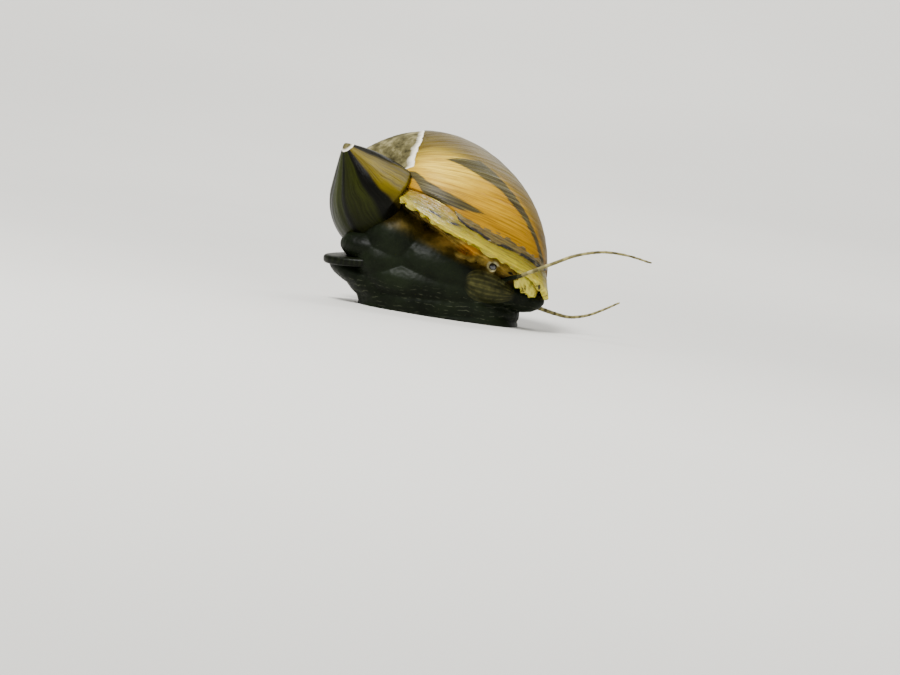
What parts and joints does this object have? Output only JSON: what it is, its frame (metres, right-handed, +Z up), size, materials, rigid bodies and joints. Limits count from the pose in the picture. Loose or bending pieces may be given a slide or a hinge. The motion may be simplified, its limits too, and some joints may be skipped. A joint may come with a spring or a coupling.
{
  "type": "nerite snail",
  "caption": "Life-size crawling nerite snail with a low spiral shell, shell lip, operculum, foot, head, eyes and long feelers, as a still museum model.",
  "frame": {"origin": "centre of the flat underside of the sole, on the floor", "axes": "+X towards the animal's head, +Y to its left side, +Z up"},
  "size_m": [0.0308, 0.0175, 0.0171],
  "materials": {
    "shell_white": "worn, chalky white shell",
    "shell_dark": "dark banded shell",
    "shell_horn": "polished gold-brown banded shell",
    "shell_growth": "yellow new shell at the lip",
    "deck_enamel": "smooth pale shell enamel",
    "lid_horn": "dark shelly lid",
    "flesh_black": "wet black flesh",
    "flesh_brown": "wet brown mantle flesh",
    "tentacle_skin": "soft ringed skin",
    "eye_black": "glossy black"
  },
  "bodies": {
    "root": {"shell_apex": "shell_white", "shell_spire": "shell_dark", "shell_body_whorl": "shell_horn", "shell_outer_lip": "shell_growth", "shell_deck": "deck_enamel", "operculum": "lid_horn", "foot_sole": "flesh_black", "foot_front": "flesh_black", "foot_middle": "flesh_black", "foot_tail": "flesh_black", "body_column": "flesh_brown", "mantle": "flesh_brown", "head": "flesh_black", "snout": "flesh_black", "eye_stalk_right": "flesh_black", "eye_stalk_left": "flesh_black", "eye_right": "eye_black", "eye_left": "eye_black", "tentacle_right_root": "tentacle_skin", "tentacle_right_middle": "tentacle_skin", "tentacle_right_tip": "tentacle_skin", "tentacle_left_root": "tentacle_skin", "tentacle_left_middle": "tentacle_skin", "tentacle_left_tip": "tentacle_skin"}
  },
  "joints": []
}
